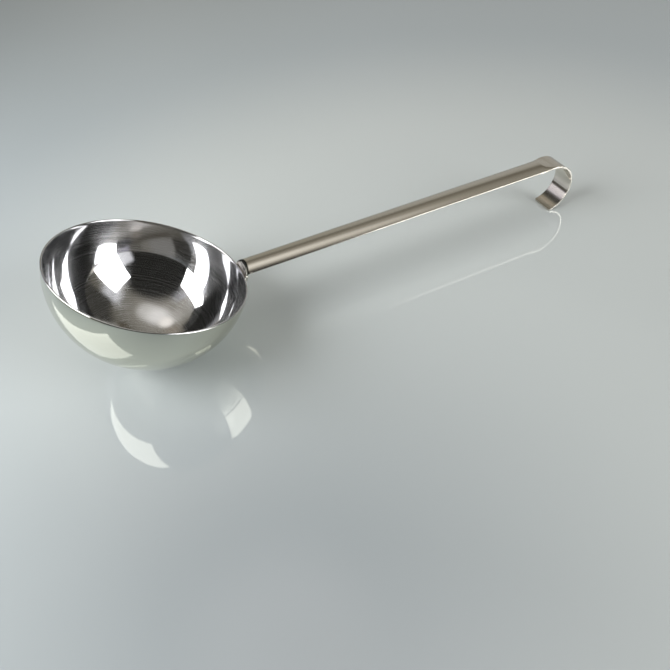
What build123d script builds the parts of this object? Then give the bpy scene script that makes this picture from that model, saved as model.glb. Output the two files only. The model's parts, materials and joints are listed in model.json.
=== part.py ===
from build123d import *
import os
from math import asin, cos, radians, sin, sqrt

# Soup ladle. A hemispherical bowl of sheet stainless steel carries a handle made of one strip.
# The strip is pressed to a shallow channel with its crown up. At the bowl it is folded down to a
# foot that hugs the bowl's outer wall and is spot-welded there. At the far end it is flat and is
# rolled down to a hook. Lengths are in millimetres, angles in degrees.
# The ladle lies as it rests on a table: +X runs along the handle away from the bowl, +Z is up,
# and the origin is under the middle of its outline, on the table.

# Bowl
bowl_outer_radius = 80.0
bowl_wall = 1.6
rim_break = 0.5  # bevel ground on both edges of the rim
bowl_tilt = 22.5  # how far the rim leans down towards the handle

# Strip that the handle is made of
strip_width = 22.5  # across the pressed channel, from edge to edge
strip_thickness = 2.0
strip_edge_break = 0.5  # bevel along the strip's long edges

# Channel pressed into the strip, deepest at the bowl
straight_length = 331.0  # from the lowest point of the rim to the start of the hook
edge_over_rim = 2.85  # height of the channel's long edges over the lowest point of the rim
channel_sag_at_bowl_share = 0.2  # depth of the channel, of the strip's width
channel_sag_at_hook_share = 0.142
fade_length = 12.0  # the channel flattens out over this length, just before the hook
fade_crown_drop = 2.0  # the flat strip lies this much under the channel's crown
fade_steps = 4

# Hook
hook_inner_radius = 24.84
hook_arc = 172.0
hook_corner_rounding = 2.0

# Foot, folded down and welded to the outside of the bowl
foot_length = 30.0  # down the bowl's wall from the rim
foot_gap = 0.05  # left between the two sheets, away from the welds
fold_inner_rounding = 1.5  # on the hidden side of the fold
root_length = 16.0  # how far the fold's own block reaches out from the rim

# Spot welds: one row of two under the rim and one weld below
weld_radius = 2.5
weld_depth_in_foot = 0.8
weld_upper_row = 9.0  # down the wall from the rim
weld_lower_row = 20.0
weld_side_offset = 5.5
dimple_depth = 0.2  # the electrode's mark on the outside of the foot

# Overrun of all cutting shapes past what they cut
overrun = 5.0

# Worked out from the sizes above, from the bowl's centre
half_width = strip_width / 2
rim_low_x = bowl_outer_radius * cos(radians(bowl_tilt))
rim_low_z = -bowl_outer_radius * sin(radians(bowl_tilt))
edge_z = rim_low_z + edge_over_rim
channel_sag_at_bowl = channel_sag_at_bowl_share * strip_width
channel_sag_at_hook = channel_sag_at_hook_share * strip_width
arch_radius_at_hook = (half_width**2 + channel_sag_at_hook**2) / (2 * channel_sag_at_hook)
flat_half_width = arch_radius_at_hook * asin(half_width / arch_radius_at_hook)
flat_top_z = edge_z + channel_sag_at_hook - fade_crown_drop
flat_mid_z = flat_top_z - strip_thickness / 2
hook_mid_radius = hook_inner_radius + strip_thickness / 2
hook_outer_radius = hook_inner_radius + strip_thickness
hook_x = rim_low_x + straight_length
hook_z = flat_mid_z - hook_mid_radius
fade_x = hook_x - fade_length
root_x = rim_low_x + root_length
foot_inner_radius = bowl_outer_radius + foot_gap
foot_outer_radius = foot_inner_radius + strip_thickness
fold_outer_rounding = fold_inner_rounding + strip_thickness
tip_low_z = hook_z + hook_outer_radius * cos(radians(hook_arc))
table_z = min(-bowl_outer_radius, tip_low_z)
middle_x = (hook_x + hook_outer_radius - bowl_outer_radius) / 2


def sag_at(x):
    """Depth of the channel at a place along the handle."""
    share = (x - rim_low_x) / (fade_x - rim_low_x)
    return channel_sag_at_bowl + share * (channel_sag_at_hook - channel_sag_at_bowl)


def across(x):
    """Plane square to the handle. Its own x runs across the strip and its own y runs up."""
    return Plane(origin=(x, 0, 0), x_dir=(0, 1, 0), z_dir=(1, 0, 0))


def arch(sag, edge_height, half):
    """Radius of the strip's upper face, height of its axis and half the angle that it spans."""
    radius = (half**2 + sag**2) / (2 * sag)
    return radius, edge_height + sag - radius, asin(half / radius)


def strip_section(x, sag, edge_height, half):
    """Section of the pressed strip: an arc of even thickness with bevelled edges."""
    top, axis_height, half_angle = arch(sag, edge_height, half)
    bottom = top - strip_thickness
    low_y = bottom * sin(half_angle)
    low_z = axis_height + bottom * cos(half_angle)
    outline = [
        ThreePointArc((-half, edge_height), (0, axis_height + top), (half, edge_height)),
        Line((half, edge_height), (low_y, low_z)),
        ThreePointArc((low_y, low_z), (0, axis_height + bottom), (-low_y, low_z)),
        Line((-low_y, low_z), (-half, edge_height)),
    ]
    face = make_face(outline)
    return across(x) * chamfer(face.vertices(), strip_edge_break)


def flat_section(x):
    """Section of the flat strip at the start of the hook, as wide as the arch rolled out."""
    face = Rectangle(2 * flat_half_width, strip_thickness)
    return across(x) * Pos(0, flat_mid_z) * chamfer(face.vertices(), strip_edge_break)


def under_arch(x, drop, spread):
    """Everything under the arch at one place: its upper face lowered by drop, widened by spread."""
    top, axis_height, _ = arch(sag_at(x), edge_z, half_width)
    radius = top - drop
    half = half_width + spread
    shoulder = axis_height + sqrt(radius**2 - half**2)
    floor = -bowl_outer_radius
    outline = [
        ThreePointArc((-half, shoulder), (0, axis_height + radius), (half, shoulder)),
        Line((half, shoulder), (half, floor)),
        Line((half, floor), (-half, floor)),
        Line((-half, floor), (-half, shoulder)),
    ]
    return across(x) * make_face(outline)


def bowl_ball(radius):
    """Full ball about the bowl's centre, with its seam on the side away from the handle."""
    return Rot(0, 0, 180) * Sphere(radius)


def folded_block(drop, spread, ball_radius, rounding):
    """Solid under the arch and outside the bowl, with the fold between the two faces rounded."""
    start = rim_low_x - root_length
    block = loft([under_arch(start, drop, spread), under_arch(root_x, drop, spread)], ruled=True)
    block -= bowl_ball(ball_radius)
    block = block.solids().sort_by(Axis.X)[-1]
    fold = block.edges().filter_by(
        lambda edge: abs(edge.position_at(0.5).length - ball_radius) < foot_gap
        and edge.position_at(0.5).Z > edge_z
        and abs(edge.position_at(0.5).Y) < foot_gap
    )
    return fillet(fold, rounding)


def foot_outline():
    """Prism that gives the foot its straight sides and its round end."""
    middle_angle = radians(bowl_tilt) + foot_length / 2 / bowl_outer_radius
    reach_down = bowl_outer_radius * sin(foot_length / 2 / bowl_outer_radius)
    outwards = Vector(cos(middle_angle), 0, -sin(middle_angle))
    plane = Plane(origin=outwards * bowl_outer_radius, x_dir=(0, 1, 0), z_dir=outwards)
    up = 1 if plane.y_dir.Z > 0 else -1
    sides_height = bowl_outer_radius
    sides = Pos(0, up * (half_width - reach_down + sides_height / 2)) * Rectangle(
        strip_width, sides_height
    )
    end = Pos(0, up * (half_width - reach_down)) * Circle(half_width)
    return extrude(plane * (sides + end), amount=bowl_outer_radius / 2, both=True)


def make_root():
    """The fold: the end of the channel, and the foot that runs down the bowl's wall."""
    outer = folded_block(0, 0, foot_inner_radius, fold_outer_rounding)
    inner = folded_block(strip_thickness, strip_edge_break, foot_outer_radius, fold_inner_rounding)
    return (outer - inner) & foot_outline()


def make_fade():
    """The stretch where the channel flattens out, smooth at both of its ends."""
    sections = []
    for step in range(fade_steps):
        share = step / fade_steps
        eased = share * share * (3 - 2 * share)
        x = fade_x + fade_length * share
        sag = channel_sag_at_hook * (1 - eased)
        height = edge_z + (flat_top_z - edge_z) * eased
        half = half_width + (flat_half_width - half_width) * eased
        sections.append(strip_section(x, sag, height, half))
    sections.append(flat_section(hook_x))
    return loft(sections)


def make_hook():
    """The flat end of the strip, rolled down and back, with its two corners rounded off."""
    axis = Axis((hook_x, 0, hook_z), (0, 1, 0))
    hook = revolve(flat_section(hook_x), axis=axis, revolution_arc=hook_arc)
    tip = Pos(hook_x, 0, hook_z) * Rot(0, hook_arc, 0) * Pos(0, 0, hook_mid_radius)
    size = hook_corner_rounding
    for side in (-1, 1):
        reach = flat_half_width - size
        corner = Pos(-size / 2, side * (reach + size / 2)) * Box(size, size, 2 * strip_thickness)
        keep = Pos(-size, side * reach) * Cylinder(size, 2 * strip_thickness)
        hook -= tip * (corner - keep)
    return hook


def weld_places():
    """Planes on the bowl's outer wall, one at each weld, facing outwards."""
    places = []
    for down, side in (
        (weld_upper_row, -weld_side_offset),
        (weld_upper_row, weld_side_offset),
        (weld_lower_row, 0),
    ):
        angle = radians(bowl_tilt) + down / bowl_outer_radius
        turn = side / bowl_outer_radius
        outwards = Vector(cos(angle) * cos(turn), sin(turn), -sin(angle) * cos(turn))
        places.append(Plane(origin=outwards * bowl_outer_radius, z_dir=outwards))
    return places


def make_weld(place):
    """One weld nugget: a button of melted steel that stands on the wall and fills a seat in the foot."""
    top = foot_gap + weld_depth_in_foot
    height = top + overrun
    button = Cylinder(weld_radius, height, align=(Align.CENTER, Align.CENTER, Align.MAX))
    return place * Pos(0, 0, top) * button - bowl_ball(bowl_outer_radius)


def make_dimple(place):
    """The shallow round mark that the electrode leaves on the outside of the foot."""
    radius = (weld_radius**2 + dimple_depth**2) / (2 * dimple_depth)
    height = foot_gap + strip_thickness - dimple_depth + radius
    return place * (Pos(0, 0, height) * Sphere(radius))


def make_bowl():
    """Hemispherical shell with a ground rim."""
    inner_radius = bowl_outer_radius - bowl_wall
    outline = [
        Line((inner_radius, 0), (bowl_outer_radius, 0)),
        RadiusArc((bowl_outer_radius, 0), (0, -bowl_outer_radius), bowl_outer_radius),
        Line((0, -bowl_outer_radius), (0, -inner_radius)),
        RadiusArc((0, -inner_radius), (inner_radius, 0), -inner_radius),
    ]
    wall = make_face(outline)
    rim_corners = wall.vertices().sort_by(Axis.Y)[-2:]
    wall = chamfer(rim_corners, rim_break)
    bowl = revolve(Plane.XZ * wall, axis=Axis.Z)
    return Rot(0, bowl_tilt, 0) * bowl


def make_handle(welds, places):
    """The whole strip: foot and fold, channel, fade and hook."""
    channel = loft(
        [
            strip_section(root_x, sag_at(root_x), edge_z, half_width),
            strip_section(fade_x, channel_sag_at_hook, edge_z, half_width),
        ],
        ruled=True,
    )
    handle = make_root() + channel + make_fade() + make_hook()
    for place in places:
        handle -= make_dimple(place)
    return handle - welds


def main():
    os.makedirs("parts", exist_ok=True)
    places = weld_places()
    welds = Compound([make_weld(place) for place in places])
    to_table = Pos(-middle_x, 0, -table_z)
    parts = {
        "bowl": make_bowl(),
        "handle": make_handle(welds, places),
        "spot_welds": welds,
    }
    for name, shape in parts.items():
        export_step(to_table * shape, f"parts/{name}.step")
    print("hook tip over the table:", round(tip_low_z - table_z, 3))


main()
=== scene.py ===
import json
import math

import bmesh
import bpy
from mathutils import Matrix, Quaternion, Vector


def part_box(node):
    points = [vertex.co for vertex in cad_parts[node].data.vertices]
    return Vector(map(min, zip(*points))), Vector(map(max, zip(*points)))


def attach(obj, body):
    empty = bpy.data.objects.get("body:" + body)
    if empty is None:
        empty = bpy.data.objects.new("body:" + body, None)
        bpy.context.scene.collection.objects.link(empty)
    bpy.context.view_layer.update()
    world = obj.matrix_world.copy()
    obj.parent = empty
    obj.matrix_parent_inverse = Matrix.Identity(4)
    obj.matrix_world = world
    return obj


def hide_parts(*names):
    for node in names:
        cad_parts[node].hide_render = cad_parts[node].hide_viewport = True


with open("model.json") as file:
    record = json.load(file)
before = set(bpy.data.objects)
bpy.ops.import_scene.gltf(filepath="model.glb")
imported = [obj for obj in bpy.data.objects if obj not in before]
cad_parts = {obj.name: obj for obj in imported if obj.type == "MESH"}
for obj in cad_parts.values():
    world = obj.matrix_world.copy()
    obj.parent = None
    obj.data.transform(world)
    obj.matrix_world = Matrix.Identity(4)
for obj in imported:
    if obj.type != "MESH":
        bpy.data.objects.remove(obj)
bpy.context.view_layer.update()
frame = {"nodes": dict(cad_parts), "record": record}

bl_info = {
    "name": "Soup ladle",
    "version": (1, 0, 0),
    "blender": (4, 5, 0),
    "location": "View3D > Sidebar > Ladle",
    "description": "Makes a stainless steel soup ladle on a pale glass plate",
    "category": "Add Mesh",
}

# The ladle's own frame: +X runs along the handle, +Z is up, and all lengths are in metres.
mounts = {mount["name"]: mount for mount in frame["record"]["mounts"]}
bowl_low, bowl_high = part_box("bowl")
bowl_radius = round((bowl_high.y - bowl_low.y) / 2, 4)
bowl_centre = Vector((mounts["bowl_rest"]["pos_m"][0], 0, bowl_radius))
hook_centre = Vector(mounts["hanging_hook"]["pos_m"])
hook_inner_radius = mounts["hanging_hook"]["dims"]["r_mm"] / 1000


def metres(name, default, description):
    """A length that a user can change."""
    return bpy.props.FloatProperty(
        name=name, default=default, description=description, min=0, precision=5, unit="LENGTH"
    )


def degrees(name, default, description):
    """An angle that a user can change."""
    return bpy.props.FloatProperty(
        name=name, default=math.radians(default), description=description, subtype="ANGLE"
    )


def amount(name, default, description):
    """A plain number that a user can change."""
    return bpy.props.FloatProperty(name=name, default=default, description=description, min=0)


def colour(name, default, description):
    """A colour that a user can change."""
    return bpy.props.FloatVectorProperty(
        name=name, default=default, description=description, subtype="COLOR", min=0, max=1, size=3
    )


class LadleBowlSizes(bpy.types.PropertyGroup):
    """Sizes and steel of the bowl."""

    wall: metres("Wall", 0.0016, "Thickness of the sheet")
    rim_break: metres("Rim break", 0.00079, "Rounding ground on both edges of the rim")
    tilt: degrees("Tilt", 22.5, "How far the rim leans down towards the handle")
    outside: colour("Outside", (0.65, 0.655, 0.57), "Steel of the polished outside")
    inside: colour("Inside", (0.68, 0.68, 0.69), "Steel of the brushed inside")
    polish: amount("Polish", 0.035, "Roughness of the polished outside")


class LadleHandleSizes(bpy.types.PropertyGroup):
    """Sizes and steel of the handle's strip."""

    width: metres("Width", 0.0225, "Across the pressed channel, from edge to edge")
    thickness: metres("Thickness", 0.002, "Thickness of the strip")
    edge_break: metres("Edge break", 0.00028, "Rounding along the strip's edges")
    edge_over_rim: metres("Edge over rim", 0.00285, "Long edges over the lowest point of the rim")
    sag_at_bowl: metres("Depth at the bowl", 0.0045, "Depth of the channel at the bowl")
    sag_at_hook: metres("Depth at the hook", 0.003195, "Depth of the channel before the hook")
    fade: metres("Fade", 0.012, "Length over which the channel flattens out")
    hook_arc: degrees("Hook arc", 172, "How far the hook is rolled")
    tip_rounding: metres("Tip rounding", 0.002, "Rounding of the two corners at the hook's tip")
    foot: metres("Foot", 0.030, "How far the foot reaches down the bowl's wall")
    foot_gap: metres("Foot gap", 0.00005, "Space between the foot and the bowl's wall")
    fold_rounding: metres("Fold rounding", 0.0032, "Outer rounding of the fold at the bowl")
    steel: colour("Steel", (0.72, 0.685, 0.62), "Steel of the satin strip")
    # The colour below is painted shade: a near-black band put into the steel's colour over the fold's
    # bend, where shade falls.
    fold_painted_shade: colour("Painted fold shade", (0.07, 0.07, 0.06), "Steel over the fold's bend")


class LadleStageSizes(bpy.types.PropertyGroup):
    """Camera, floor and lights."""

    camera_place: bpy.props.FloatVectorProperty(
        name="Camera", default=(-0.20394, -0.4238, 0.4065), description="Where the camera stands",
        subtype="TRANSLATION", unit="LENGTH",
    )
    camera_turn: degrees("Turn", 24.08, "The view's turn from +Y towards +X")
    camera_dip: degrees("Dip", 46.24, "How far the view looks down")
    camera_roll: degrees("Roll", 3.46, "How far the camera leans to its right")
    lens: amount("Lens", 34.35, "Focal length in millimetres")
    floor: colour("Floor", (0.65, 0.70, 0.70), "Colour of the glass plate round the ladle")
    # The plate's colour is painted darker in front and far off: painted shade where the soft boxes'
    # light falls off.
    floor_front_painted_shade: colour("Painted shade in front", (0.36, 0.40, 0.425), "Its colour close to the camera")
    floor_far_painted_shade: colour("Painted shade far off", (0.50, 0.56, 0.59), "Its colour away from the ladle")
    box_light: amount("Soft boxes", 6.0, "Brightness of both soft boxes, where white is 1")


# Small helpers for meshes


def fill_mesh(mesh, bm):
    """Moves a bmesh into a mesh whose faces are smooth apart from its sharp edges."""
    bm.to_mesh(mesh)
    bm.free()
    mesh.polygons.foreach_set("use_smooth", [True] * len(mesh.polygons))
    mesh.set_sharp_from_angle(angle=math.radians(35))


def piece_from(bm, name):
    """Turns a bmesh into an object in the scene."""
    mesh = bpy.data.meshes.new(name)
    fill_mesh(mesh, bm)
    piece = bpy.data.objects.new(name, mesh)
    bpy.context.scene.collection.objects.link(piece)
    return piece


def finish_modifiers(piece):
    """Applies a piece's modifiers to its mesh."""
    depsgraph = bpy.context.evaluated_depsgraph_get()
    finished = bpy.data.meshes.new_from_object(piece.evaluated_get(depsgraph))
    piece.modifiers.clear()
    piece.data = finished
    finished.name = piece.name


# Small helpers for materials


class Steelwork:
    """A node tree that is filled step by step."""

    def __init__(self, tree):
        self.tree = tree
        tree.nodes.clear()

    def node(self, kind, settings=None, **inputs):
        """Adds a node, sets its options, and sets or links its inputs by name or place."""
        made = self.tree.nodes.new(kind)
        for key, value in (settings or {}).items():
            setattr(made, key, value)
        for key, value in inputs.items():
            socket = made.inputs[int(key[1:])] if key[0] == "i" and key[1:].isdigit() else None
            socket = socket or made.inputs[key.replace("_", " ")]
            if isinstance(value, bpy.types.NodeSocket):
                self.tree.links.new(value, socket)
            else:
                socket.default_value = value
        return made

    def sums(self, operation, *values, clamp=False):
        """A Math node."""
        inputs = {f"i{place}": value for place, value in enumerate(values)}
        made = self.node("ShaderNodeMath", {"operation": operation, "use_clamp": clamp}, **inputs)
        return made.outputs[0]

    def smooth(self, value, low, high, to_low=0.0, to_high=1.0):
        """Goes smoothly from one value to another as the input passes from low to high."""
        made = self.node(
            "ShaderNodeMapRange", {"interpolation_type": "SMOOTHSTEP"},
            i0=value, i1=low, i2=high, i3=to_low, i4=to_high,
        )
        return made.outputs[0]

    def noise(self, vector, scale, detail=2.0, roughness=0.5):
        """Noise from 0 to 1."""
        made = self.node(
            "ShaderNodeTexNoise", None, Vector=vector, Scale=scale, Detail=detail, Roughness=roughness
        )
        return made.outputs[0]

    def mix(self, share, first, second):
        """Mixes two colours."""
        made = self.node("ShaderNodeMix", {"data_type": "RGBA"}, i0=share, i6=first, i7=second)
        return made.outputs[2]

    def combine(self, x, y, z):
        """A vector from three values."""
        return self.node("ShaderNodeCombineXYZ", None, i0=x, i1=y, i2=z).outputs[0]


def new_material(name):
    """A new material and its empty node tree."""
    material = bpy.data.materials.new(name)
    material.use_nodes = True
    return material, Steelwork(material.node_tree)


def rgba(value):
    """A colour with full opacity."""
    return (*value, 1.0)


def steel_shader(work, **inputs):
    """The metal shader and the material's output."""
    shader = work.node("ShaderNodeBsdfPrincipled", None, Metallic=1.0, **inputs)
    work.node("ShaderNodeOutputMaterial", None, Surface=shader.outputs[0])


# Bowl

# Steps of the wall from pole to rim, over each edge of the rim, and round the bowl
wall_steps, rim_steps, round_steps = 72, 4, 160
outside_slot, inside_slot, rim_slot = 0, 1, 2  # places in the bowl's list of materials
rim_share = 0.46  # a face within this share of the wall's thickness from its middle belongs to the rim


def spin_arc(bm, start, centre, axis, angle, steps):
    """Spins the last point of a profile round a centre and returns the new last point."""
    made = bmesh.ops.spin(
        bm, geom=[start], cent=centre, axis=axis, angle=angle, steps=steps, use_duplicate=False
    )
    return [item for item in made["geom_last"] if isinstance(item, bmesh.types.BMVert)][0]


def bowl_profile(bm, sizes):
    """Half the section of the outside and the rim, drawn upright about the bowl's centre."""
    across = (0, 1, 0)
    radius, wall, rounding = bowl_radius, sizes.wall, sizes.rim_break
    bottom_out = bm.verts.new((0, 0, -radius))
    lift = math.asin(rounding / radius)
    last = spin_arc(bm, bottom_out, (0, 0, 0), across, -(math.pi / 2 - lift), wall_steps)
    centre = (last.co.x - rounding, 0, last.co.z)
    last = spin_arc(bm, last, centre, across, -math.pi / 2, rim_steps)
    inner = radius - wall
    flat = bm.verts.new((inner + rounding, 0, last.co.z))
    bm.edges.new((last, flat))
    centre = (flat.co.x, 0, flat.co.z - rounding)
    last = spin_arc(bm, flat, centre, across, -math.pi / 2, rim_steps)
    return last, inner


class MakeBowl(bpy.types.Operator):
    """Spin the wall's section into the bowl and give it its polish and its brushed inside"""

    bl_idname = "ladle.make_bowl"
    bl_label = "Make Bowl"

    def execute(self, context):
        sizes = context.scene.ladle_bowl
        bm = bmesh.new()
        last, inner = bowl_profile(bm, sizes)
        fall = math.asin(-last.co.z / inner)
        last.co = (inner * math.cos(fall), 0, last.co.z)
        last = spin_arc(bm, last, (0, 0, 0), (0, 1, 0), math.pi / 2 - fall, wall_steps)
        last.co.x = 0
        bmesh.ops.spin(
            bm, geom=bm.verts[:] + bm.edges[:], cent=(0, 0, 0), axis=(0, 0, 1),
            angle=math.tau, steps=round_steps, use_merge=True, use_duplicate=False,
        )
        bmesh.ops.remove_doubles(bm, verts=bm.verts[:], dist=1e-7)
        bmesh.ops.dissolve_degenerate(bm, edges=bm.edges[:], dist=1e-8)
        bmesh.ops.recalc_face_normals(bm, faces=bm.faces[:])
        unroll_bowl(bm, inner)
        place = Matrix.Translation(bowl_centre) @ Matrix.Rotation(sizes.tilt, 4, "Y")
        bmesh.ops.transform(bm, matrix=place, verts=bm.verts[:])
        bowl = piece_from(bm, "bowl_shell")
        bowl.data.materials.append(polished_outside(sizes))
        bowl.data.materials.append(brushed_inside(sizes))
        bowl.data.materials.append(ground_rim(sizes))
        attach(bowl, "root")
        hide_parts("bowl")
        return {"FINISHED"}


def unroll_bowl(bm, inner):
    """Gives each face its finish, and a map whose first axis runs round the bowl."""
    layer = bm.loops.layers.uv.new("round")
    middle = (bowl_radius + inner) / 2
    for face in bm.faces:
        centre = face.calc_center_median()
        turn = math.atan2(centre.y, centre.x)
        if abs(centre.length - middle) < (bowl_radius - inner) * rim_share:
            face.material_index = rim_slot
        else:
            face.material_index = inside_slot if centre.length < middle else outside_slot
        for loop in face.loops:
            co = loop.vert.co
            own = math.atan2(co.y, co.x) if math.hypot(co.x, co.y) > 1e-6 else turn
            own += math.tau * round((turn - own) / math.tau)
            fall = math.atan2(math.hypot(co.x, co.y), -co.z)
            loop[layer].uv = (own / math.tau + 0.5, fall / math.pi)


def fall_from_pole(work):
    """Place inside or outside the bowl in its own upright frame, and the angle from its pole."""
    place = work.node("ShaderNodeTexCoord").outputs["Object"]
    upright = work.node(
        "ShaderNodeMapping", {"vector_type": "TEXTURE"}, Vector=place,
        Location=bowl_centre, Rotation=(0, bpy.context.scene.ladle_bowl.tilt, 0),
    ).outputs[0]
    split = work.node("ShaderNodeSeparateXYZ", None, Vector=upright)
    x, y, z = split.outputs
    out = work.sums("SQRT", work.sums("ADD", work.sums("MULTIPLY", x, x), work.sums("MULTIPLY", y, y)))
    fall = work.sums("ARCTAN2", out, work.sums("MULTIPLY", z, -1.0))
    return upright, fall


def polished_outside(sizes):
    """Mirror polish with the faint marks of use."""
    material, work = new_material("polished_steel")
    upright, _ = fall_from_pole(work)
    marks = work.noise(upright, 420.0, 4.0, 0.6)
    cloud = work.noise(upright, 22.0, 2.0)
    rough = work.sums("ADD", sizes.polish, work.sums("MULTIPLY", cloud, 0.03))
    bump = work.node("ShaderNodeBump", None, Strength=0.02, Distance=0.0001, Height=marks)
    steel_shader(work, Base_Color=rgba(sizes.outside), Roughness=rough, Normal=bump.outputs[0])
    return material


def brushed_inside(sizes):
    """Fine circular grain, where polished lands lie between fine grooves."""
    material, work = new_material("brushed_steel")
    upright, fall = fall_from_pole(work)
    wobble = work.sums("MULTIPLY", work.noise(upright, 60.0, 3.0), 0.0008)
    ring = work.combine(work.sums("ADD", fall, wobble), 0.0, 0.0)
    fine = work.noise(ring, 900.0, 3.0, 0.7)
    groove = work.smooth(fine, 0.53, 0.59)
    rough = work.sums("ADD", 0.03, work.sums("MULTIPLY", groove, 0.29))
    tone = work.mix(work.sums("MULTIPLY", fine, 0.2), rgba(sizes.inside), (0.5, 0.5, 0.51, 1.0))
    bump = work.node("ShaderNodeBump", None, Strength=0.005, Distance=0.0001, Height=fine)
    tangent = work.node("ShaderNodeTangent", {"direction_type": "UV_MAP", "uv_map": "round"})
    steel_shader(
        work, Base_Color=tone, Roughness=rough, Normal=bump.outputs[0], Anisotropic=1.0,
        Anisotropic_Rotation=0.25, Tangent=tangent.outputs[0],
    )
    return material


def ground_rim(sizes):
    """The rim's ground edge, a little duller than the polish."""
    material, work = new_material("ground_steel")
    place = work.node("ShaderNodeTexCoord").outputs["Object"]
    rough = work.sums("ADD", 0.04, work.sums("MULTIPLY", work.noise(place, 900.0, 3.0), 0.06))
    steel_shader(work, Base_Color=rgba(sizes.inside), Roughness=rough)
    return material


# Handle

# Rows along the foot, the fold, the straight run, the fade and the hook, and columns across the strip
foot_rows, fold_rows, run_rows, fade_rows, hook_rows = 30, 14, 90, 24, 72
across_columns = 28
# The columns at each side that end on a corner of the tip, and the last rows, over which they fan out
corner_columns, fan_rows = 5, 4
fold_shade_row = foot_rows + 3  # the painted shade starts here, just past the foot, and ends with the fold


def strip_path(sizes):
    """Sizes that the strip's upper face is worked out from, in the ladle's frame."""
    half = sizes.width / 2
    arch = (half**2 + sizes.sag_at_hook**2) / (2 * sizes.sag_at_hook)
    low_x = bowl_centre.x + bowl_radius * math.cos(bpy.context.scene.ladle_bowl.tilt)
    low_z = bowl_centre.z - bowl_radius * math.sin(bpy.context.scene.ladle_bowl.tilt)
    return {
        "half": half,
        "widening": arch * math.asin(half / arch) / half,
        "low_x": low_x,
        "edge_z": low_z + sizes.edge_over_rim,
        "hook_radius": hook_inner_radius + sizes.thickness,
        "flat_z": hook_centre.z + hook_inner_radius + sizes.thickness,
        "fade_x": hook_centre.x - sizes.fade,
        "ball": bowl_radius + sizes.foot_gap,
    }


def arch_height(y, sag, half):
    """Height of a channel of that depth over its long edges."""
    if sag < 1e-7:
        return 0.0
    radius = (half**2 + sag**2) / (2 * sag)
    return sag - radius + math.sqrt(radius**2 - y**2)


def strip_column(y, tip_y, sizes, path):
    """One line of points along the strip's upper face, from the foot's end to the hook's tip."""
    half, low_x, edge_z, ball = path["half"], path["low_x"], path["edge_z"], path["ball"]
    widening = path["widening"]
    points = []
    ring = math.sqrt(ball**2 - y**2)
    reach = sizes.foot / 2 / bowl_radius
    middle = bpy.context.scene.ladle_bowl.tilt + reach
    end = half - bowl_radius * math.sin(reach) - math.sqrt(max(half**2 - y**2, 0))
    foot_end = middle - math.asin(end / ring)
    fold = sizes.fold_rounding
    crown = edge_z + arch_height(y, sizes.sag_at_bowl, half) - bowl_centre.z
    fold_turn = math.asin((fold - crown) / (ring + fold))
    fold_x = (ring + fold) * math.cos(fold_turn)
    for step in range(foot_rows):
        angle = foot_end + (fold_turn - foot_end) * step / foot_rows
        x, z = ring * math.cos(angle) + bowl_centre.x, bowl_centre.z - ring * math.sin(angle)
        points.append((x, y, z))
    for step in range(fold_rows):
        angle = math.pi - fold_turn + (fold_turn - math.pi / 2) * step / fold_rows
        points.append((
            bowl_centre.x + fold_x + fold * math.cos(angle), y,
            bowl_centre.z + crown - fold + fold * math.sin(angle),
        ))
    start = bowl_centre.x + fold_x
    for step in range(run_rows):
        x = start + (path["fade_x"] - start) * step / run_rows
        share = (x - low_x) / (path["fade_x"] - low_x)
        sag = sizes.sag_at_bowl + share * (sizes.sag_at_hook - sizes.sag_at_bowl)
        points.append((x, y, edge_z + arch_height(y, sag, half)))
    for step in range(fade_rows):
        share = step / fade_rows
        eased = share * share * (3 - 2 * share)
        height = edge_z + (path["flat_z"] - edge_z) * eased
        wider = 1 + (widening - 1) * eased
        height += arch_height(y * wider, sizes.sag_at_hook * (1 - eased), half * wider)
        points.append((path["fade_x"] + sizes.fade * share, y * wider, height))
    over = max((abs(tip_y) - half) * widening + sizes.tip_rounding, 0)
    short = sizes.tip_rounding - math.sqrt(max(sizes.tip_rounding**2 - over**2, 0))
    arc = sizes.hook_arc - short / path["hook_radius"]
    for step in range(hook_rows + 1):
        angle = arc * step / hook_rows
        own = y + (tip_y - y) * max(step + fan_rows - hook_rows, 0) / fan_rows
        points.append((
            hook_centre.x + path["hook_radius"] * math.sin(angle), own * widening,
            hook_centre.z + path["hook_radius"] * math.cos(angle),
        ))
    return points


def tip_sides(sides, half, rounding):
    """Where each column ends across the tip, whose two corners are rounded."""
    flat = half - rounding
    tips = []
    for place, side in enumerate(sides):
        bend = corner_columns - min(place, across_columns - place)
        if bend > 0:
            reach = flat + rounding * math.sin(math.pi / 2 * bend / corner_columns)
            tips.append(math.copysign(reach, side))
        else:
            share = (place - corner_columns) / (across_columns - 2 * corner_columns)
            tips.append(flat * (2 * share - 1))
    return tips


def round_edges(piece, start, end, rounding):
    """Rounds the long edges of the strip between two lengths along it."""
    sharp = math.radians(40)
    bm = bmesh.new()
    bm.from_mesh(piece.data)
    layer = bm.loops.layers.uv["along"]
    edges = []
    for edge in bm.edges:
        lengths = [loop[layer].uv.x for loop in edge.link_loops]
        if start < min(lengths) and max(lengths) < end and edge.calc_face_angle() > sharp:
            edges.append(edge)
    bmesh.ops.bevel(
        bm, geom=edges, offset=rounding, offset_type="OFFSET", segments=4, profile=0.5,
        affect="EDGES", clamp_overlap=False,
    )
    fill_mesh(piece.data, bm)


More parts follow.
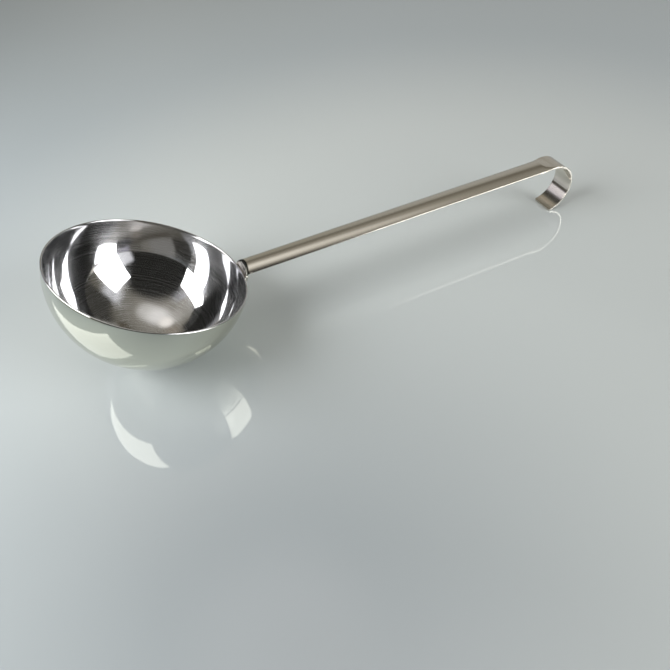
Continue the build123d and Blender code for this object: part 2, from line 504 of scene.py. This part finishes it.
class MakeHandle(bpy.types.Operator):
    """Form the strip from its foot on the bowl to the tip of its hook"""

    bl_idname = "ladle.make_handle"
    bl_label = "Make Handle"

    def execute(self, context):
        sizes = context.scene.ladle_handle
        path = strip_path(sizes)
        half = path["half"]
        sides = [half * (2 * place / across_columns - 1) for place in range(across_columns + 1)]
        tips = tip_sides(sides, half, sizes.tip_rounding / path["widening"])
        columns = [strip_column(side, tip, sizes, path) for side, tip in zip(sides, tips)]
        rows = foot_rows + fold_rows + run_rows + fade_rows + hook_rows
        bm = bmesh.new()
        bmesh.ops.create_grid(bm, x_segments=rows, y_segments=across_columns, size=1)
        layer = bm.loops.layers.uv.new("along")
        places = {}
        for vert in bm.verts:
            row = round((vert.co.x + 1) / 2 * rows)
            column = round((vert.co.y + 1) / 2 * across_columns)
            vert.co = columns[column][row]
            places[vert] = (row, sides[column])
        lengths = [0.0]
        middle = columns[across_columns // 2]
        for first, second in zip(middle, middle[1:]):
            lengths.append(lengths[-1] + math.dist(first, second))
        for face in bm.faces:
            for loop in face.loops:
                row, side = places[loop.vert]
                loop[layer].uv = (lengths[row], side)
        handle = piece_from(bm, "handle_strip")
        wall = handle.modifiers.new("wall", "SOLIDIFY")
        wall.thickness, wall.offset, wall.use_even_offset = sizes.thickness, -1, True
        finish_modifiers(handle)
        # Where the painted shade over the fold starts and ends along the strip.
        bend_start, bend_end = lengths[fold_shade_row], lengths[foot_rows + fold_rows]
        round_edges(handle, bend_end, lengths[rows - fan_rows - 1], sizes.edge_break)
        handle.data.materials.append(satin_strip(sizes, bend_start, bend_end))
        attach(handle, "root")
        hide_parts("handle")
        return {"FINISHED"}


def satin_strip(sizes, bend_start, bend_end):
    """Satin steel whose grain runs along the strip, with a near-black band of painted shade over the
    fold's bend.
    """
    material, work = new_material("satin_steel")
    place = work.node("ShaderNodeUVMap", {"uv_map": "along"}).outputs[0]
    grain = (14.0, 2600.0, 0.0)  # lines per metre, along the strip and across it
    stretched = work.node("ShaderNodeVectorMath", {"operation": "MULTIPLY"}, i0=place, i1=grain)
    fine = work.noise(stretched.outputs[0], 1.0, 4.0, 0.6)
    broad = work.noise(place, 60.0, 2.0)
    rough = work.sums("ADD", 0.09, work.sums("MULTIPLY", fine, 0.08))
    rough = work.sums("ADD", rough, work.sums("MULTIPLY", broad, 0.03))
    bump = work.node("ShaderNodeBump", None, Strength=0.02, Distance=0.0001, Height=fine)
    along = work.node("ShaderNodeSeparateXYZ", None, Vector=place).outputs[0]
    soft = 0.0004
    # Painted shade: this mask turns the steel's colour near-black over the fold's bend.
    bend = work.sums(
        "MULTIPLY", work.smooth(along, bend_start - soft, bend_start + soft),
        work.smooth(along, bend_end - soft, bend_end + soft, 1.0, 0.0),
    )
    tone = work.mix(bend, rgba(sizes.steel), rgba(sizes.fold_painted_shade))
    tangent = work.node("ShaderNodeTangent", {"direction_type": "UV_MAP", "uv_map": "along"})
    steel_shader(
        work, Base_Color=tone, Roughness=rough, Normal=bump.outputs[0], Anisotropic=1.0,
        Anisotropic_Rotation=0.25, Tangent=tangent.outputs[0],
    )
    return material


class FinishWelds(bpy.types.Operator):
    """Give the weld nuggets between bowl and foot their own steel"""

    bl_idname = "ladle.finish_welds"
    bl_label = "Finish Welds"

    def execute(self, context):
        material, work = new_material("weld_metal")
        place = work.node("ShaderNodeTexCoord").outputs["Object"]
        cloud = work.noise(place, 700.0, 3.0)
        tone = work.mix(cloud, (0.42, 0.40, 0.37, 1.0), (0.6, 0.59, 0.57, 1.0))
        rough = work.sums("ADD", 0.35, work.sums("MULTIPLY", cloud, 0.25))
        steel_shader(work, Base_Color=tone, Roughness=rough)
        welds = frame["nodes"]["spot_welds"]
        welds.data.materials.clear()
        welds.data.materials.append(material)
        return {"FINISHED"}


# Stage

# Each soft box: its turn about the bowl in degrees, and in metres its distance from it, how far it
# stands aside, its width, its height, and the height of its lower edge
soft_boxes = {
    "box_right_": (-46.7, 2.96, 0.0, 1.80, 2.17, 0.05),
    "box_left_": (181.2, 0.65, -0.106, 0.814, 0.79, 0.292),
}
# Each box is three lamps: one for the steel, one for the plate's own colour, and one that the plate's
# gloss mirrors to the steel, but not straight to the eye. They stand a little behind each other,
# because a ray meets only one lamp in a place.
lamp_step = 0.004
steel_then_plate = 2.5  # a lamp counts a ray's depth as one more than the surfaces that the ray has met

# What the steel mirrors of the room, each patch over those before it. A wall has two turns from +X and
# two rises, and a disc has a turn, a rise and a radius, in degrees; then come its softness and colour.
room_patches = (
    ("wall", (-205, -140), (58, 72), 6, (0.38, 0.38, 0.39)),
    ("wall", (18, 86), (-9, 34), 8, (0.34, 0.325, 0.28)),
    ("wall", (18, 68), (-9, 34), 8, (0.40, 0.39, 0.36)),
    ("wall", (-90, 15), (30, 37), 3, (0.12, 0.112, 0.09)),
    ("wall", (15, 104), (38, 47), 3, (0.12, 0.105, 0.08)),
    ("wall", (-38, -15), (20, 42), 6, (0.62, 0.62, 0.63)),
    ("wall", (-18, 18), (-90, 33), 4, (0.06, 0.058, 0.05)),
    ("wall", (113, 150), (4, 37), 4, (0.54, 0.52, 0.6)),
    ("wall", (104, 146), (37, 54), 3, (0.05, 0.05, 0.048)),
    ("wall", (94, 150), (-4, 5.5), 1.2, (0.035, 0.032, 0.028)),
    ("disc", -5, 74, 11.5, 6, (0.76, 0.74, 0.69)),
    ("disc", 112, 72, 9, 7, (0.55, 0.53, 0.48)),
    ("disc", 90, 56, 7, 7, (0.36, 0.32, 0.26)),
    ("disc", 45, 80, 11, 7, (1.06, 1.03, 0.98)),
    ("disc", 84, 71, 7, 4, (1.25, 1.19, 1.1)),
    ("disc", -105, 33, 44, 8, (0.02, 0.02, 0.018)),
    ("wall", (-152, -78), (-90, 30), 2, (0.016, 0.016, 0.014)),
    ("wall", (-79, -55), (-90, 19), 3, (0.95, 0.95, 0.98)),
)


def place_camera(sizes):
    """The camera at the photograph's viewing angle."""
    data = bpy.data.cameras.new("camera")
    data.lens, data.sensor_width = sizes.lens, 36
    data.shift_x, data.shift_y = -0.0047, 0.0026
    data.clip_start, data.clip_end = 0.01, 50
    camera = bpy.data.objects.new("camera", data)
    turn, dip = sizes.camera_turn, sizes.camera_dip
    view = Vector((math.sin(turn) * math.cos(dip), math.cos(turn) * math.cos(dip), -math.sin(dip)))
    camera.location = sizes.camera_place
    camera.rotation_mode = "QUATERNION"
    camera.rotation_quaternion = Quaternion(view, sizes.camera_roll) @ view.to_track_quat("-Z", "Y")
    bpy.context.scene.collection.objects.link(camera)
    bpy.context.scene.camera = camera


def lay_floor(sizes):
    """A large pale glass plate, painted darker towards the camera and far from the ladle as painted
    shade where the lamps' light falls off.
    """
    bm = bmesh.new()
    bmesh.ops.create_grid(bm, x_segments=1, y_segments=1, size=12)
    floor = piece_from(bm, "floor")
    material, work = new_material("glass_plate")
    place = work.node("ShaderNodeTexCoord").outputs["Object"]

    def away_from(x, y, start, end):
        """Goes from 0 to 1 between two distances from a place on the plate."""
        made = work.node("ShaderNodeVectorMath", {"operation": "DISTANCE"}, i0=place, i1=(x, y, 0.0))
        return work.smooth(made.outputs["Value"], start, end)

    # Painted shade: the plate's colour darkens towards the camera's side and away from the ladle,
    # standing in for the lamps' falloff.
    front_painted_shade = away_from(-0.2, -0.275, 0.0, 0.4)
    tone = work.mix(front_painted_shade, rgba(sizes.floor_front_painted_shade), rgba(sizes.floor))
    tone = work.mix(away_from(0.1, -0.1, 0.3, 0.65), tone, rgba(sizes.floor_far_painted_shade))
    shader = work.node("ShaderNodeBsdfPrincipled", None, Base_Color=tone, Roughness=0.04, IOR=1.66)
    work.node("ShaderNodeOutputMaterial", None, Surface=shader.outputs[0])
    floor.data.materials.append(material)
    return floor


def lit_group(name, pieces):
    """The pieces that a lamp lights."""
    group = bpy.data.collections.new(name)
    for piece in pieces:
        group.objects.link(piece)
    return group


def soft_box(name, part, lit, turn, distance, aside, width, height, low, strength):
    """One lamp of an upright soft box that is turned to the bowl, of that strength, where white is 1."""
    data = bpy.data.lights.new(name, "AREA")
    data.shape, data.size, data.size_y = "RECTANGLE", width, height
    data.energy = strength * math.pi * width * height
    lamp = bpy.data.objects.new(name, data)
    towards = Vector((math.cos(turn), math.sin(turn), 0))
    across = Vector((-math.sin(turn), math.cos(turn), 0))
    lamp.location = Vector((bowl_centre.x, 0, low + height / 2)) + towards * distance + across * aside
    lamp.rotation_mode = "QUATERNION"
    lamp.rotation_quaternion = (-towards).to_track_quat("-Z", "Y")
    lamp.visible_camera = False
    lamp.visible_glossy, lamp.visible_diffuse = part != "plate_colour", part != "plate_gloss"
    lamp.light_linking.receiver_collection = lit
    if part == "plate_gloss":
        data.use_nodes = True
        work = Steelwork(data.node_tree)
        depth = work.node("ShaderNodeLightPath").outputs["Ray Depth"]
        seen = work.sums("GREATER_THAN", depth, steel_then_plate)
        glow = work.node("ShaderNodeEmission", None, Strength=seen)
        work.node("ShaderNodeOutputLight", None, Surface=glow.outputs[0])
    bpy.context.scene.collection.objects.link(lamp)


def room(sizes):
    """The studio's dim walls, by direction, and a plain pale background for the camera."""
    world = bpy.data.worlds.new("studio")
    bpy.context.scene.world = world
    world.use_nodes = True
    work = Steelwork(world.node_tree)
    direction = work.node("ShaderNodeTexCoord").outputs["Generated"]
    split = work.node("ShaderNodeSeparateXYZ", None, Vector=direction)
    x, y, z = split.outputs
    turn = work.sums("MULTIPLY", work.sums("ARCTAN2", y, x), 180 / math.pi)
    rise = work.sums("MULTIPLY", work.sums("ARCSINE", z), 180 / math.pi)

    def window(low, high, soft, value):
        """1 between two angles and 0 outside them."""
        start = work.smooth(value, low - soft, low + soft)
        return work.sums("MULTIPLY", start, work.smooth(value, high - soft, high + soft, 1.0, 0.0))

    def wall(under, turns, rises, soft, tint):
        """A stretch of wall between two turns and two rises."""
        area = work.sums("MULTIPLY", window(*turns, soft, turn), window(*rises, soft, rise))
        return work.mix(area, under, rgba(tint))

    def disc(under, at_turn, at_rise, radius, soft, tint):
        """A round patch about one direction."""
        middle = Vector((1, 0, 0))
        middle.rotate(Quaternion((0, 1, 0), -math.radians(at_rise)))
        middle.rotate(Quaternion((0, 0, 1), math.radians(at_turn)))
        along = work.node("ShaderNodeVectorMath", {"operation": "DOT_PRODUCT"}, i0=direction, i1=middle)
        away = work.sums("MULTIPLY", work.sums("ARCCOSINE", along.outputs["Value"]), 180 / math.pi)
        return work.mix(work.smooth(away, radius - soft, radius + soft, 1.0, 0.0), under, rgba(tint))

    walls, ceiling = (0.17, 0.16, 0.13), (0.35, 0.33, 0.285)
    shade = work.mix(work.smooth(rise, 40, 68), rgba(walls), rgba(ceiling))
    shapes = {"wall": wall, "disc": disc}
    for kind, *patch in room_patches:
        shade = shapes[kind](shade, *patch)
    lit = work.node("ShaderNodeBackground", None, Color=shade, Strength=1.0)
    plain = work.node("ShaderNodeBackground", None, Color=rgba(sizes.floor), Strength=1.0)
    sight = work.node("ShaderNodeLightPath").outputs["Is Camera Ray"]
    both = work.node("ShaderNodeMixShader", None, i0=sight, i1=lit.outputs[0], i2=plain.outputs[0])
    work.node("ShaderNodeOutputWorld", None, Surface=both.outputs[0])


class SetStage(bpy.types.Operator):
    """Lay the glass plate and set the camera and the soft boxes"""

    bl_idname = "ladle.set_stage"
    bl_label = "Set Stage"

    def execute(self, context):
        sizes = context.scene.ladle_stage
        place_camera(sizes)
        floor = lit_group("lit_floor", [lay_floor(sizes)])
        steel = [bpy.data.objects["bowl_shell"], bpy.data.objects["handle_strip"]]
        steel = lit_group("lit_steel", [*steel, frame["nodes"]["spot_welds"]])
        parts = (("plate_gloss", floor), ("steel", steel), ("plate_colour", floor))
        for place, (part, lit) in enumerate(parts):
            for name, (turn, distance, *rest) in soft_boxes.items():
                distance += place * lamp_step
                soft_box(name + part, part, lit, math.radians(turn), distance, *rest, sizes.box_light)
        room(sizes)
        context.scene.view_settings.view_transform = "Standard"
        return {"FINISHED"}


class LadlePanel(bpy.types.Panel):
    """Lists the steps that make the ladle"""

    bl_idname = "VIEW3D_PT_ladle"
    bl_label = "Soup Ladle"
    bl_space_type = "VIEW_3D"
    bl_region_type = "UI"
    bl_category = "Ladle"

    def draw(self, context):
        for group, step in (
            ("ladle_bowl", MakeBowl),
            ("ladle_handle", MakeHandle),
            (None, FinishWelds),
            ("ladle_stage", SetStage),
        ):
            box = self.layout.box()
            if group:
                sizes = getattr(context.scene, group)
                for name in sizes.__annotations__:
                    box.prop(sizes, name)
            box.operator(step.bl_idname)


classes = (
    LadleBowlSizes, LadleHandleSizes, LadleStageSizes,
    MakeBowl, MakeHandle, FinishWelds, SetStage, LadlePanel,
)


def register():
    for each in classes:
        bpy.utils.register_class(each)
    bpy.types.Scene.ladle_bowl = bpy.props.PointerProperty(type=LadleBowlSizes)
    bpy.types.Scene.ladle_handle = bpy.props.PointerProperty(type=LadleHandleSizes)
    bpy.types.Scene.ladle_stage = bpy.props.PointerProperty(type=LadleStageSizes)


def unregister():
    del bpy.types.Scene.ladle_stage
    del bpy.types.Scene.ladle_handle
    del bpy.types.Scene.ladle_bowl
    for each in reversed(classes):
        bpy.utils.unregister_class(each)


def main():
    """Makes the ladle and its stage."""
    register()
    bpy.ops.ladle.make_bowl()
    bpy.ops.ladle.make_handle()
    bpy.ops.ladle.finish_welds()
    bpy.ops.ladle.set_stage()


if __name__ == "__main__":
    main()
